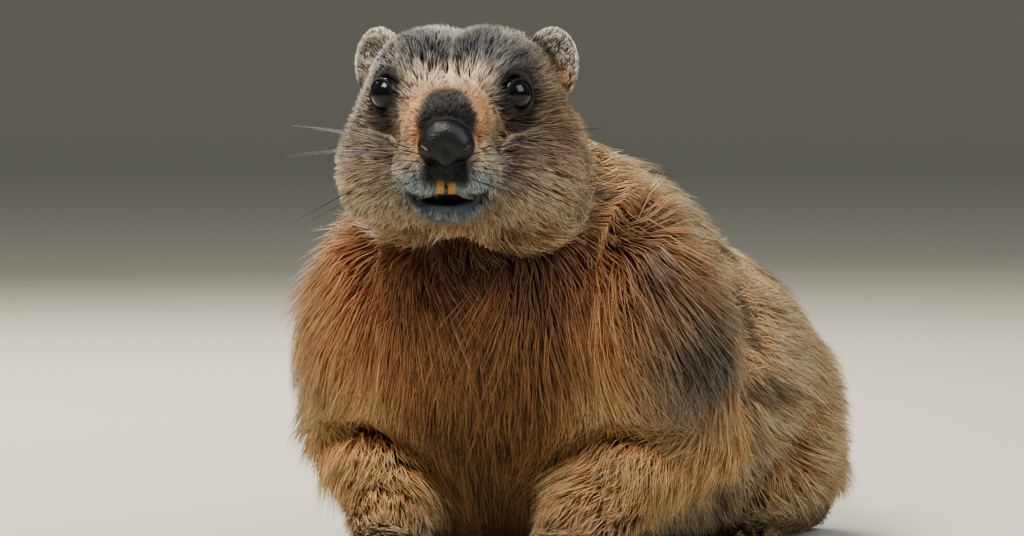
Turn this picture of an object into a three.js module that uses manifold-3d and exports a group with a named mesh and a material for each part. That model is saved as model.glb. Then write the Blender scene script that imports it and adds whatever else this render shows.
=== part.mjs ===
// An alpine marmot, life size, as a still museum model: a fat autumn animal that crouches on all
// four feet with its back arched, the head raised and turned a little to its own left.
// Millimetres, +Z up. The animal faces -Y, its left side is +X, and it rests on the plane z = 0.
//
// The whole animal is one smooth form: eggs and tapered limbs that melt into each other. The form
// is the outline of the coat, out to the tips of the hair.
import * as THREE from "three";
import { mergeVertices } from "three/addons/utils/BufferGeometryUtils.js";
import Module from "manifold-3d";

const wasm = await Module();
wasm.setup();

// Driving sizes of the whole animal
const GAP = 0.42; // slit between nodes that touch
const MARGIN = 0.55; // what a smooth form grows by before it is cut from its neighbour
const HEAD_AT = [-5, -28, 215]; // midpoint between the eyes
const HEAD_YAW = 10; // degrees, the head looks to its own left
const HEAD_BEND = 0.001; // a millimetre, the muzzle turns further to that side by this times y squared
const EYE_RADIUS = 7.4;
const EYE_PROUD = 3.2; // each eye stands out of the head by this
const EYE_SPOT = [27.5, -13, 1]; // where the left eye looks out, in the head's frame

// Small vector helpers on plain arrays
const add = (a, b, t = 1) => [a[0] + b[0] * t, a[1] + b[1] * t, a[2] + b[2] * t];
const sub = (a, b) => [a[0] - b[0], a[1] - b[1], a[2] - b[2]];
const dot = (a, b) => a[0] * b[0] + a[1] * b[1] + a[2] * b[2];
const cross = (a, b) => [
  a[1] * b[2] - a[2] * b[1],
  a[2] * b[0] - a[0] * b[2],
  a[0] * b[1] - a[1] * b[0],
];
const unit = (a) => add([0, 0, 0], a, 1 / Math.hypot(...a));
const mirrorX = (p) => [Math.abs(p[0]), p[1], p[2]];
const smooth = (low, high, x) => {
  const t = Math.min(1, Math.max(0, (x - low) / (high - low)));
  return t * t * (3 - 2 * t);
};

// The head's frame: x to its left, y back, z up, from the midpoint between the eyes
const yaw = THREE.MathUtils.degToRad(HEAD_YAW);
const bend = (y) => HEAD_BEND * Math.min(0, y) ** 2;
const toHead = (p) => {
  const [x, y, z] = sub(p, HEAD_AT);
  const back = -x * Math.sin(yaw) + y * Math.cos(yaw);
  return [x * Math.cos(yaw) + y * Math.sin(yaw) - bend(back), back, z];
};
const fromHead = ([x, y, z]) => [
  HEAD_AT[0] + (x + bend(y)) * Math.cos(yaw) - y * Math.sin(yaw),
  HEAD_AT[1] + (x + bend(y)) * Math.sin(yaw) + y * Math.cos(yaw),
  HEAD_AT[2] + z,
];

// Distance-like fields: negative inside, about the distance in millimetres outside
function egg(p, centre, radii) {
  const q = sub(p, centre);
  const near = Math.hypot(q[0] / radii[0], q[1] / radii[1], q[2] / radii[2]) + 1e-9;
  const slope = Math.hypot(q[0] / radii[0] ** 2, q[1] / radii[1] ** 2, q[2] / radii[2] ** 2);
  return (near * (near - 1)) / (slope + 1e-9);
}
function limb(p, from, to, fromRadius, toRadius) {
  const along = sub(to, from);
  const t = Math.min(1, Math.max(0, dot(sub(p, from), along) / dot(along, along)));
  return Math.hypot(...sub(p, add(from, along, t))) - (fromRadius + (toRadius - fromRadius) * t);
}
function melt(a, b, width) {
  const h = Math.max(width - Math.abs(a - b), 0) / width;
  return Math.min(a, b) - h * h * width * 0.25;
}

// The head's outline, in the head's frame
function headForm(q) {
  const m = mirrorX(q);
  let f = egg(m, [12, 26, -4], [31, 45, 35]); // braincase, flat on top
  f = melt(f, egg(m, [14, 2, 6], [20, 22, 21]), 14); // forehead and brow
  f = melt(f, egg(q, [0, -26, -14], [21, 27, 19]), 14); // bridge and muzzle
  f = melt(f, egg(m, [29, 16, -35], [27, 34, 31]), 16); // cheek
  f = melt(f, egg(q, [0, -2, -38], [34, 34, 20]), 14); // jaw
  f = melt(f, egg(m, [11, -37, -30], [13, 13, 12]), 8); // whisker pad and upper lip
  return melt(f, egg(q, [0, -31, -47], [15, 14, 9]), 5); // chin and lower lip
}

// The trunk's outline, from the neck to the rump
function trunkForm(p) {
  const m = mirrorX(p);
  let f = egg(p, [0, 52, 108], [84, 74, 84]); // chest
  f = melt(f, egg(p, [0, 118, 122], [78, 104, 78]), 40); // arched back
  f = melt(f, egg(p, [0, 178, 78], [112, 122, 80]), 40); // belly and flanks
  f = melt(f, egg(p, [0, 258, 80], [88, 80, 72]), 40); // rump
  f = melt(f, limb(p, [0, 60, 140], [-4, 10, 186], 64, 50), 30); // neck
  return melt(f, egg(m, [62, 40, 118], [36, 48, 58]), 20); // shoulders
}

// The limbs' places, for the left side; the right is mirrored
const ELBOW = [72, 64, 70];
const WRIST = [42, -4, 28];
const FOREPAW = [40, -24, 11];
const THIGH = { at: [80, 214, 56], size: [38, 66, 54] };
const KNEE = [86, 252, 40];
const HEEL = [82, 262, 15];
const MIDFOOT = [80, 226, 13];
const BALL = [78, 186, 11];
// The tail's outline: a full brush that lies back along the floor
const TAIL_MARKS = [[0, 296, 56], [0, 350, 33], [6, 410, 27], [15, 460, 24], [26, 500, 15]];
const TAIL_STEPS = 8;
const TAIL_LINE = new THREE.CatmullRomCurve3(TAIL_MARKS.map((p) => new THREE.Vector3(...p)))
  .getPoints(TAIL_STEPS)
  .map((p) => p.toArray());
const TAIL_RADIUS = { root: 28, swell: 6, taper: 14, taperFrom: 0.6 };
const TAIL_RADII = TAIL_LINE.map((_, i) => {
  const share = i / TAIL_STEPS;
  const full = TAIL_RADIUS.root + TAIL_RADIUS.swell * Math.sin(Math.PI * share);
  return full - TAIL_RADIUS.taper * smooth(TAIL_RADIUS.taperFrom, 1, share);
});
const headOutline = (p) => headForm(toHead(p));

// A field's slope, for the outward direction at a point
function outward(field, p) {
  const e = 0.8;
  return unit(
    [0, 1, 2].map((i) => {
      const step = [0, 0, 0];
      step[i] = e;
      return field(add(p, step)) - field(add(p, step, -1));
    }),
  );
}
// Moves a point to where the field has a given value
function settle(field, p, value) {
  let q = p;
  for (let i = 0; i < 6; i++) q = add(q, outward(field, q), value - field(q));
  return q;
}

// A closed solid from a geometry
function solidOf(geometry) {
  const bare = new THREE.BufferGeometry();
  bare.setAttribute("position", geometry.getAttribute("position"));
  if (geometry.index) bare.setIndex(geometry.index);
  const merged = mergeVertices(bare, 1e-3);
  return new wasm.Manifold(
    new wasm.Mesh({
      numProp: 3,
      vertProperties: new Float32Array(merged.attributes.position.array),
      triVerts: new Uint32Array(merged.index.array),
    }),
  );
}
function geometryOf(solid) {
  const mesh = solid.getMesh();
  const geometry = new THREE.BufferGeometry();
  const place = new Float32Array(mesh.numVert * 3);
  for (let i = 0; i < mesh.numVert; i++) {
    for (let k = 0; k < 3; k++) {
      place[3 * i + k] = mesh.vertProperties[mesh.numProp * i + k];
    }
  }
  geometry.setAttribute("position", new THREE.BufferAttribute(place, 3));
  geometry.setIndex(new THREE.BufferAttribute(new Uint32Array(mesh.triVerts), 1));
  geometry.computeVertexNormals();
  return geometry;
}
function largest(solid) {
  const bodies = solid.decompose();
  return bodies.reduce((best, body) => (body.volume() > best.volume() ? body : best));
}
function whole(solid) {
  let kept = largest(solid);
  for (let i = 0; i < 8; i++) {
    const again = solidOf(geometryOf(kept).toNonIndexed());
    const bodies = again.decompose();
    kept = largest(again);
    if (bodies.length === 1) break;
  }
  return kept;
}

// Where two folds of one surface touch along an edge, each fold is drawn in along its own normal
const PINCH = 0.03;
function loosened(geometry) {
  const place = geometry.getAttribute("position");
  const faces = geometry.index.array;
  const key = (i) => [0, 1, 2].map((k) => Math.round(place.array[3 * i + k] * 1000)).join();
  for (let pass = 0; pass < 6; pass++) {
    const uses = new Map();
    for (let f = 0; f < faces.length; f += 3) {
      for (let s = 0; s < 3; s++) {
        const ends = [faces[f + s], faces[f + ((s + 1) % 3)]];
        const name = ends.map(key).sort().join(" ");
        uses.set(name, [...(uses.get(name) ?? []), ...ends]);
      }
    }
    const tight = new Set([...uses.values()].filter((ends) => ends.length > 4).flat());
    if (tight.size === 0) break;
    geometry.computeVertexNormals();
    const normal = geometry.getAttribute("normal");
    for (const i of tight) {
      for (let k = 0; k < 3; k++) {
        place.array[3 * i + k] -= PINCH * (1 + pass) * normal.array[3 * i + k];
      }
    }
  }
  return geometry;
}

// The surface where a field is zero, inside a box, as one closed mesh: each cell that the surface
// crosses has one vertex at the mean of the crossings on its edges, and each crossed grid edge has
// two triangles between its four cells. The box's own border counts as outside.
function skinOf(field, low, high, cell) {
  const n = [0, 1, 2].map((i) => Math.ceil((high[i] - low[i]) / cell) + 1);
  const at = (i, j, k) => (k * n[1] + j) * n[0] + i;
  const value = new Float32Array(n[0] * n[1] * n[2]);
  for (let k = 0; k < n[2]; k++) {
    for (let j = 0; j < n[1]; j++) {
      for (let i = 0; i < n[0]; i++) {
        const p = [low[0] + i * cell, low[1] + j * cell, low[2] + k * cell];
        const border = [i, j, k].some((c, axis) => c === 0 || c === n[axis] - 1);
        const f = field(p);
        value[at(i, j, k)] = border ? Math.max(f, cell * 0.25) : f;
      }
    }
  }
  const vertexOf = new Map();
  const place = [];
  const corner = [0, 1, 2, 3, 4, 5, 6, 7].map((c) => [c & 1, (c >> 1) & 1, c >> 2]);
  for (let k = 0; k + 1 < n[2]; k++) {
    for (let j = 0; j + 1 < n[1]; j++) {
      for (let i = 0; i + 1 < n[0]; i++) {
        const f = corner.map(([a, b, c]) => value[at(i + a, j + b, k + c)]);
        const inside = f.filter((x) => x < 0).length;
        if (inside === 0 || inside === 8) continue;
        const sum = [0, 0, 0];
        let count = 0;
        for (let a = 0; a < 8; a++) {
          for (const bit of [1, 2, 4]) {
            const b = a | bit;
            if (b === a || f[a] < 0 === f[b] < 0) continue;
            const t = f[a] / (f[a] - f[b]);
            for (let x = 0; x < 3; x++) sum[x] += corner[a][x] + t * (corner[b][x] - corner[a][x]);
            count++;
          }
        }
        vertexOf.set(at(i, j, k), place.length / 3);
        place.push(
          low[0] + (i + sum[0] / count) * cell,
          low[1] + (j + sum[1] / count) * cell,
          low[2] + (k + sum[2] / count) * cell,
        );
      }
    }
  }
  const faces = [];
  const axes = [[1, 0, 0], [0, 1, 0], [0, 0, 1]];
  for (let k = 1; k + 1 < n[2]; k++) {
    for (let j = 1; j + 1 < n[1]; j++) {
      for (let i = 1; i + 1 < n[0]; i++) {
        const here = value[at(i, j, k)] < 0;
        axes.forEach((axis, a) => {
          const there = value[at(i + axis[0], j + axis[1], k + axis[2])] < 0;
          if (here === there) return;
          const u = axes[(a + 1) % 3];
          const v = axes[(a + 2) % 3];
          const cellAt = (s, t) =>
            vertexOf.get(at(i - s * u[0] - t * v[0], j - s * u[1] - t * v[1], k - s * u[2] - t * v[2]));
          const ring = [cellAt(0, 0), cellAt(1, 0), cellAt(1, 1), cellAt(0, 1)];
          if (!here) ring.reverse();
          faces.push(ring[0], ring[1], ring[2], ring[0], ring[2], ring[3]);
        });
      }
    }
  }
  const geometry = new THREE.BufferGeometry();
  geometry.setAttribute("position", new THREE.BufferAttribute(new Float32Array(place), 3));
  geometry.setIndex(faces);
  return solidOf(geometry);
}

// Everything on the far side of a plane is cut away, with the normal pointing at what goes
const BIG = 1200;
function cutAway(solid, point, normal) {
  const block = new THREE.BoxGeometry(BIG, BIG, BIG);
  const turn = new THREE.Quaternion().setFromUnitVectors(
    new THREE.Vector3(0, 0, 1),
    new THREE.Vector3(...unit(normal)),
  );
  const centre = new THREE.Vector3(...add(point, unit(normal), BIG / 2));
  block.applyMatrix4(new THREE.Matrix4().compose(centre, turn, new THREE.Vector3(1, 1, 1)));
  return solid.subtract(solidOf(block));
}
// The two sides of a thin slit at a plane: what is behind it, and what is beyond it
function parted(solid, point, normal) {
  const back = unit(normal);
  return [
    cutAway(solid, add(point, back, -GAP / 2), back),
    cutAway(solid, add(point, back, GAP / 2), add([0, 0, 0], back, -1)),
  ];
}
const onFloor = (solid) => cutAway(solid, [0, 0, 0], [0, 0, -1]);

function ball(centre, radii, around = 12, down = 8) {
  const geometry = new THREE.SphereGeometry(1, around, down);
  geometry.scale(...radii);
  geometry.translate(...centre);
  return solidOf(geometry);
}
const ballInHead = (centre, radii, around, down) => {
  const geometry = new THREE.SphereGeometry(1, around, down);
  geometry.scale(...radii);
  geometry.rotateZ(yaw);
  geometry.translate(...fromHead(centre));
  return solidOf(geometry);
};
// A limb carried along a line: a ring of points round each station, and a rounded cap at each end
function tube(line, radii, around) {
  const place = [];
  const faces = [];
  const last = line.length - 1;
  const ring = (centre, way, radius) => {
    const side = unit(cross(way, Math.abs(way[1]) > 0.8 ? [0, 0, 1] : [0, 1, 0]));
    const up = cross(side, way);
    for (let s = 0; s < around; s++) {
      const turn = (2 * Math.PI * s) / around;
      place.push(...add(add(centre, side, radius * Math.cos(turn)), up, radius * Math.sin(turn)));
    }
  };
  const wayAt = (i) => unit(sub(line[Math.min(last, i + 1)], line[Math.max(0, i - 1)]));
  const cap = Math.SQRT1_2;
  const first = radii[0];
  const end = radii[last];
  ring(add(line[0], wayAt(0), -first * cap), wayAt(0), first * cap);
  for (let i = 0; i <= last; i++) ring(line[i], wayAt(i), radii[i]);
  ring(add(line[last], wayAt(last), end * cap), wayAt(last), end * cap);
  const rings = line.length + 2;
  for (let r = 0; r + 1 < rings; r++) {
    for (let s = 0; s < around; s++) {
      const a = r * around + s;
      const b = r * around + ((s + 1) % around);
      faces.push(a, b + around, b, a, a + around, b + around);
    }
  }
  const poles = place.length / 3;
  place.push(...add(line[0], wayAt(0), -first), ...add(line[last], wayAt(last), end));
  for (let s = 0; s < around; s++) {
    const next = (s + 1) % around;
    faces.push(poles, s, next);
    faces.push(poles + 1, (rings - 1) * around + next, (rings - 1) * around + s);
  }
  const geometry = new THREE.BufferGeometry();
  geometry.setAttribute("position", new THREE.BufferAttribute(new Float32Array(place), 3));
  geometry.setIndex(faces);
  return solidOf(geometry);
}
const sides = [["left", 1], ["right", -1]];
const onSide = (side, p) => [side * p[0], p[1], p[2]];

const joined = (solids) => wasm.Manifold.union(solids);

// The trunk, and its thin cuts
const CELL = { trunk: 12, head: 7.3 };
const TRUNK_BOX = [[-140, -60, -20], [140, 350, 250]];
const NECK_AT = fromHead([0, 30, -14]);
const NECK_NORMAL = unit([-0.12, 0.9, -0.43]);
const SHOULDER_AT = [0, 30, 173];
const SHOULDER_NORMAL = unit([0, 0.537, -0.843]);
const WAIST_Y = 150;

const trunk = skinOf(trunkForm, ...TRUNK_BOX, CELL.trunk);
// A smooth solid with a margin all round: each vertex moves out along its own normal
function grown(solid) {
  const geometry = geometryOf(solid);
  const place = geometry.getAttribute("position").array;
  const normal = geometry.getAttribute("normal").array;
  for (let i = 0; i < place.length; i++) place[i] += MARGIN * normal[i];
  return solidOf(geometry);
}
const trunkGrown = grown(trunk);

// The limbs as solids, before they are cut to the trunk's face
const ARM_TOP = [66, 50, 108];
const ARM_LINE = [ARM_TOP, [71, 57, 88], ELBOW, [59, 36, 49], WRIST, [41, -14, 17]];
const ARM_RADII = [36, 34, 31, 25, 18, 15];
function foreSkin(side) {
  const arm = tube(ARM_LINE.map((p) => onSide(side, p)), ARM_RADII, 12);
  return arm.add(ball(onSide(side, FOREPAW), [17, 22, 13], 10, 7));
}
function hindSkin(side) {
  const thigh = ball(onSide(side, THIGH.at), THIGH.size, 13, 9);
  const sole = tube([KNEE, HEEL, MIDFOOT, BALL].map((p) => onSide(side, p)), [24, 16, 15, 14], 9);
  return thigh.add(sole);
}

// Toes and claws: rounded digits side by side across the front of a paw, each with a bent claw
function digits(side, paw, count, spread, toe, claw) {
  const parts = [];
  for (let i = 0; i < count; i++) {
    const across = (i - (count - 1) / 2) * spread;
    const middle = 1 - Math.abs(i - (count - 1) / 2) / count;
    const x = side * (paw[0] + across);
    const y = paw[1] - toe[1] * 0.9 * middle;
    parts.push(ball([x, y, toe[2] * 0.75], toe, 7, 5));
    const nail = new THREE.ConeGeometry(claw.radius, claw.length, 5);
    nail.rotateX(Math.PI / 2 + 0.32);
    nail.rotateY(Math.PI);
    nail.applyMatrix4(new THREE.Matrix4().makeScale(1, -1, 1));
    nail.index.array.reverse();
    nail.translate(x, y - toe[1] - claw.length * 0.22, toe[2] * 0.62);
    parts.push(solidOf(nail));
  }
  return parts;
}
const FORE_TOE = [5, 10, 7];
const HIND_TOE = [4.6, 11, 7];
const FORE_CLAW = { radius: 2.4, length: 15 };
const HIND_CLAW = { radius: 2.2, length: 12 };
function foreleg(side) {
  const paw = [FOREPAW[0], FOREPAW[1] - 14, 0];
  const toes = digits(side, paw, 4, 9.2, FORE_TOE, FORE_CLAW);
  return onFloor(joined([foreSkin(side), ...toes]).subtract(trunkGrown));
}
function hindleg(side) {
  const paw = [BALL[0], BALL[1] - 10, 0];
  const toes = digits(side, paw, 5, 7.6, HIND_TOE, HIND_CLAW);
  return onFloor(joined([hindSkin(side), ...toes]).subtract(trunkGrown));
}

// The head, with lids, nostrils, lips and the mouth a little open over two upper incisors
const EYE = (side) => {
  const guess = onSide(side, EYE_SPOT);
  const headSurface = (q) => headForm(q);
  const up = outward(headSurface, guess);
  return { at: add(settle(headSurface, guess, 0), up, EYE_PROUD - EYE_RADIUS), up };
};
function lidRing(side) {
  const { at, up } = EYE(side);
  const ring = new THREE.TorusGeometry(EYE_RADIUS + 0.9, 1.9, 5, 14);
  ring.scale(1.08, 0.92, 1);
  ring.applyQuaternion(
    new THREE.Quaternion().setFromUnitVectors(new THREE.Vector3(0, 0, 1), new THREE.Vector3(...up)),
  );
  ring.translate(...add(at, up, EYE_RADIUS - 3.4));
  ring.rotateZ(yaw);
  ring.translate(...HEAD_AT);
  return solidOf(ring);
}
const eyeball = (side, grow) => {
  const r = EYE_RADIUS + grow;
  return ballInHead(EYE(side).at, [r, r, r], 12, 8);
};

const NOSE = { at: [0, -50, -13], size: [12.5, 9, 12.5] };
const MOUTH = { at: [0, -45, -41], size: [18, 15, 5.2] };
const TOOTH = { at: [2.35, -44.5, -36.5], radius: 1.95, length: 10 };
const NOSTRIL = { out: 6.2, back: -58, up: -16.5, size: [2.6, 4, 2.2] };
function noseSolid() {
  const pad = ballInHead(NOSE.at, NOSE.size, 12, 8);
  const hole = (side) => ballInHead([side * NOSTRIL.out, NOSTRIL.back, NOSTRIL.up], NOSTRIL.size, 8, 6);
  return pad.subtract(joined([hole(1), hole(-1)]));
}
function tooth(side, grow) {
  const form = new THREE.CapsuleGeometry(TOOTH.radius + grow, TOOTH.length, 2, 7);
  form.rotateX(Math.PI / 2);
  form.scale(1, 0.8, 1);
  form.rotateX(0.12);
  form.translate(side * TOOTH.at[0] + bend(TOOTH.at[1]), TOOTH.at[1], TOOTH.at[2]);
  form.rotateZ(yaw);
  form.translate(...HEAD_AT);
  return solidOf(form);
}
const EAR = { out: 38, back: 44, up: 13, size: [12.5, 7, 17], face: 0.42 };
const EAR_CUP = { forward: -6.2, size: [9.2, 7, 12.8] };
function earShape(side, size, forward, around) {
  const geometry = new THREE.SphereGeometry(1, around, 8);
  geometry.scale(...size);
  geometry.translate(0, forward, 0);
  geometry.rotateZ(side * EAR.face);
  geometry.translate(side * EAR.out, EAR.back, EAR.up);
  geometry.rotateZ(yaw);
  geometry.translate(...HEAD_AT);
  return solidOf(geometry);
}
const ear = (side) =>
  earShape(side, EAR.size, 0, 14).subtract(earShape(side, EAR_CUP.size, EAR_CUP.forward, 12));
const HEAD_BOX = [[-90, -110, 130], [80, 90, 265]];
const skull = skinOf(headOutline, ...HEAD_BOX, CELL.head);
const skullGrown = grown(skull);
const face = joined([skull, lidRing(1), lidRing(-1)]).subtract(
  joined([
    eyeball(1, GAP), eyeball(-1, GAP), tooth(1, GAP), tooth(-1, GAP),
    ballInHead(MOUTH.at, MOUTH.size, 12, 8),
  ]),
);

const [headPart] = parted(face, NECK_AT, NECK_NORMAL);
const [, bodyPart] = parted(onFloor(trunk), NECK_AT, NECK_NORMAL);
const [neckPart, torso] = parted(bodyPart, SHOULDER_AT, SHOULDER_NORMAL);
const [frontPart, rearPart] = parted(torso, [0, WAIST_Y, 0], [0, 1, 0]);

const group = new THREE.Group();
function node(name, solid, colour, roughness = 0.9) {
  const material = new THREE.MeshStandardMaterial({ color: colour, roughness, metalness: 0 });
  const mesh = new THREE.Mesh(loosened(geometryOf(whole(solid))), material);
  mesh.name = name;
  group.add(mesh);
}
node("head", headPart, "#8a6f56");
node("nose", noseSolid().subtract(skullGrown), "#15171c", 0.5);
node("neck", neckPart, "#9a6a3c");
node("torso_front", frontPart, "#9a6a3c");
node("torso_rear", rearPart, "#a98a5f");
node("tail", onFloor(tube(TAIL_LINE, TAIL_RADII, 12)).subtract(trunkGrown), "#5b4030");
for (const [name, side] of sides) {
  node("ear_" + name, ear(side).subtract(skullGrown).subtract(trunkGrown), "#b3a284");
  node("eye_" + name, eyeball(side, 0), "#0d0c0f", 0.1);
  node("incisor_" + name, tooth(side, 0), "#b8772b", 0.4);
  node("foreleg_" + name, foreleg(side), "#a9773f");
  node("hindleg_" + name, hindleg(side), "#8f6a42");
}

// The origin sits under the middle of the whole model, on the floor
const middle = new THREE.Box3().setFromObject(group).getCenter(new THREE.Vector3());
group.position.set(-middle.x, -middle.y, 0);
export default group;
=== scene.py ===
"""An alpine marmot at life size, as a museum would show it: one seamless skin under a coat of tapered
tufts that follow the lie of the fur, with eyes, lids, nose, teeth, claws and whiskers of their own.

The animal is worked out in millimetres in its own frame: it faces -Y, its left side is +X and the
floor is z = 0. A shape is a field, a formula that is negative inside and about the distance in
millimetres outside, and fields melt into each other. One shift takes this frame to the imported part's.
"""

import math

import bpy
import mathutils
import numpy as np
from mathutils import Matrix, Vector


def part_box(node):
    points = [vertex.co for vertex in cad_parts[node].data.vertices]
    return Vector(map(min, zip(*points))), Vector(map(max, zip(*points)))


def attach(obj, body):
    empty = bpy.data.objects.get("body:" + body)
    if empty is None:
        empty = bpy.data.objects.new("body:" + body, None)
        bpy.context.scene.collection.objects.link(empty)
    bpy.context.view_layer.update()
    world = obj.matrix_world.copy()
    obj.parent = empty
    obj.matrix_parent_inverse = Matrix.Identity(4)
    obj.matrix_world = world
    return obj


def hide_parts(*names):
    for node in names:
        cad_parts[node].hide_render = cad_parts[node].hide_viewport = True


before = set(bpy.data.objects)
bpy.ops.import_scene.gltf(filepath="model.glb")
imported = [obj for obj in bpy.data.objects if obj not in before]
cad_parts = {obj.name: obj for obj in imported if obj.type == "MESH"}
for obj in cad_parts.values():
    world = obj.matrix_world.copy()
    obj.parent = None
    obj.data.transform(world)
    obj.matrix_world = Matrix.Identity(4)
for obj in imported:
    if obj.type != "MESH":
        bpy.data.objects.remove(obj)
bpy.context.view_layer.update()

MM = 0.001
HEAD_AT = np.array([-5.0, -28.0, 215.0])  # midpoint between the eyes
HEAD_YAW = math.radians(10)  # the head looks to its own left
HEAD_BEND = 0.001  # and the muzzle turns further by this times y squared
EYE_RADIUS = 7.4
EYE_PROUD = 3.2  # each eye stands out of the head's outline by this
EYE_SPOT = (27.5, -13.0, 1.0)  # where the left eye looks out, in the head's frame
NOSE_TIP = np.array([0.0, -55.0, -14.0])  # in the head's frame, where the lie of the face starts
SEED = 4113
draw = np.random.default_rng(SEED)


def linear(code):
    """sRGB hex to linear: (c / 12.92) below 0.04045, else ((c + 0.055) / 1.055) to the power 2.4"""
    c = np.array([int(code[i : i + 2], 16) for i in (1, 3, 5)]) / 255
    return np.where(c < 0.04045, c / 12.92, ((c + 0.055) / 1.055) ** 2.4)


def smooth(low, high, x):
    """A step from 0 to 1 with level ends: 3 t squared - 2 t cubed"""
    t = np.clip((x - low) / (high - low), 0, 1)
    return t * t * (3 - 2 * t)


def bell(x, middle, width):
    """A bump of height 1: e to the power of -((x - middle) / width) squared"""
    return np.exp(-(((x - middle) / width) ** 2))


def unit(v):
    """A direction's length made 1"""
    return v / (np.linalg.norm(v, axis=-1, keepdims=True) + 1e-9)


def along(way, up):
    """The part of a direction that lies in the surface, at length 1"""
    return unit(way - (way * up).sum(-1, keepdims=True) * up)


def mirrored(p):
    """Places on either side taken to the left: x made positive"""
    return np.concatenate([np.abs(p[..., :1]), p[..., 1:]], axis=-1)


# The form


def egg(p, centre, radii):
    """About the distance to an ellipsoid: k (k - 1) / g, with k the length of the offset divided by the
    radii, and g the length of the offset divided by the radii twice"""
    q = (p - np.array(centre, p.dtype)) / np.array(radii, p.dtype)
    near = np.sqrt((q * q).sum(-1)) + 1e-6
    q /= np.array(radii, p.dtype)
    return near * (near - 1) / (np.sqrt((q * q).sum(-1)) + 1e-6)


def limb(p, start, end, start_radius, end_radius):
    """Distance to a line, less a radius that goes evenly from one end's to the other's"""
    start, end = np.array(start, p.dtype), np.array(end, p.dtype)
    way = end - start
    t = np.clip(((p - start) @ way) / (way @ way), 0, 1)
    gap = p - start - t[..., None] * way
    return np.sqrt((gap * gap).sum(-1)) - (start_radius + (end_radius - start_radius) * t)


def melt(a, b, width):
    """The lower of two fields, rounded where they come within a width of each other"""
    h = np.maximum(width - np.abs(a - b), 0) / width
    return np.minimum(a, b) - h * h * width * 0.25


def to_head(p):
    """The animal's frame to the head's: moved, turned by the yaw, and unbent in front of the eyes"""
    x, y, z = np.moveaxis(p - HEAD_AT.astype(p.dtype), -1, 0)
    c, s = math.cos(HEAD_YAW), math.sin(HEAD_YAW)
    back = y * c - x * s
    return np.stack([x * c + y * s - HEAD_BEND * np.minimum(back, 0) ** 2, back, z], -1)


def turned_from_head(v):
    """A direction in the head's frame, turned by the yaw"""
    c, s = math.cos(HEAD_YAW), math.sin(HEAD_YAW)
    return np.stack([v[..., 0] * c - v[..., 1] * s, v[..., 0] * s + v[..., 1] * c, v[..., 2]], -1)


def from_head(q):
    """The head's frame to the animal's: bent in front of the eyes, turned by the yaw and moved"""
    q = np.array(q, float)
    q[..., 0] += HEAD_BEND * np.minimum(q[..., 1], 0) ** 2
    return turned_from_head(q) + HEAD_AT


def head_form(q):
    """The head: eggs that melt into each other, in the head's frame"""
    m = mirrored(q)
    f = egg(m, (12, 26, -4), (31, 45, 35))  # braincase, flat on top
    f = melt(f, egg(m, (14, 2, 6), (20, 22, 21)), 14)  # forehead and brow
    f = melt(f, egg(q, (0, -26, -14), (21, 27, 19)), 14)  # bridge and muzzle
    f = melt(f, egg(m, (29, 16, -35), (27, 34, 31)), 16)  # cheek
    f = melt(f, egg(q, (0, -2, -38), (34, 34, 20)), 14)  # jaw
    f = melt(f, egg(m, (11, -37, -30), (13, 13, 12)), 8)  # whisker pad and upper lip
    return melt(f, egg(q, (0, -31, -47), (15, 14, 9)), 5)  # chin and lower lip


def trunk_form(p):
    """Neck and trunk: eggs and one tapered limb that melt into each other"""
    f = egg(p, (0, 52, 108), (84, 74, 84))  # chest
    f = melt(f, egg(p, (0, 118, 122), (78, 104, 78)), 40)  # arched back
    f = melt(f, egg(p, (0, 178, 78), (112, 122, 80)), 40)  # belly and flanks
    f = melt(f, egg(p, (0, 258, 80), (88, 80, 72)), 40)  # rump
    f = melt(f, limb(p, (0, 60, 140), (-4, 10, 186), 64, 50), 30)  # neck
    return melt(f, egg(mirrored(p), (62, 40, 118), (36, 48, 58)), 20)  # shoulders


ELBOW, WRIST, FOREPAW = (72, 64, 70), (42, -4, 28), (40, -24, 11)
KNEE, HEEL, BALL = (86, 252, 40), (82, 262, 15), (78, 186, 11)
FORE_DIGITS = {"paw": (40, -38), "count": 4, "spread": 9.2, "toe": (5, 10, 7)}
HIND_DIGITS = {"paw": (78, 176), "count": 5, "spread": 7.6, "toe": (4.6, 11, 7)}


def toe_places(digits):
    """Toes side by side, the middle ones further forward"""
    i = np.arange(digits["count"]) - (digits["count"] - 1) / 2
    toe = digits["toe"]
    reach = 0.9 * toe[1] * (1 - np.abs(i) / digits["count"])
    return np.stack([digits["paw"][0] + i * digits["spread"], digits["paw"][1] - reach,
                     np.full(len(i), 0.75 * toe[2])], 1)


def fore_form(p):
    """Forelegs: upper arm, forearm, palm and toes"""
    m = mirrored(p)
    f = limb(m, (70, 50, 104), ELBOW, 36, 31)  # upper arm and elbow
    f = melt(f, limb(m, ELBOW, WRIST, 31, 18), 12)  # forearm
    f = melt(f, egg(m, FOREPAW, (17, 22, 13)), 10)  # palm
    for place in toe_places(FORE_DIGITS):
        f = melt(f, egg(m, place, FORE_DIGITS["toe"]), 3)
    return f


def hind_form(p):
    """Hind legs: thigh, shank, long sole and toes"""
    m = mirrored(p)
    f = egg(m, (80, 214, 56), (38, 66, 54))  # thigh and knee
    f = melt(f, limb(m, KNEE, HEEL, 24, 16), 14)  # shank
    f = melt(f, limb(m, HEEL, BALL, 16, 14), 10)  # long sole
    for place in toe_places(HIND_DIGITS):
        f = melt(f, egg(m, place, HIND_DIGITS["toe"]), 3)
    return f


TAIL_MARKS = np.array([[0, 296, 56], [0, 350, 33], [6, 410, 27], [15, 460, 24], [26, 500, 15]], float)
TAIL_STEPS = 8


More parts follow.
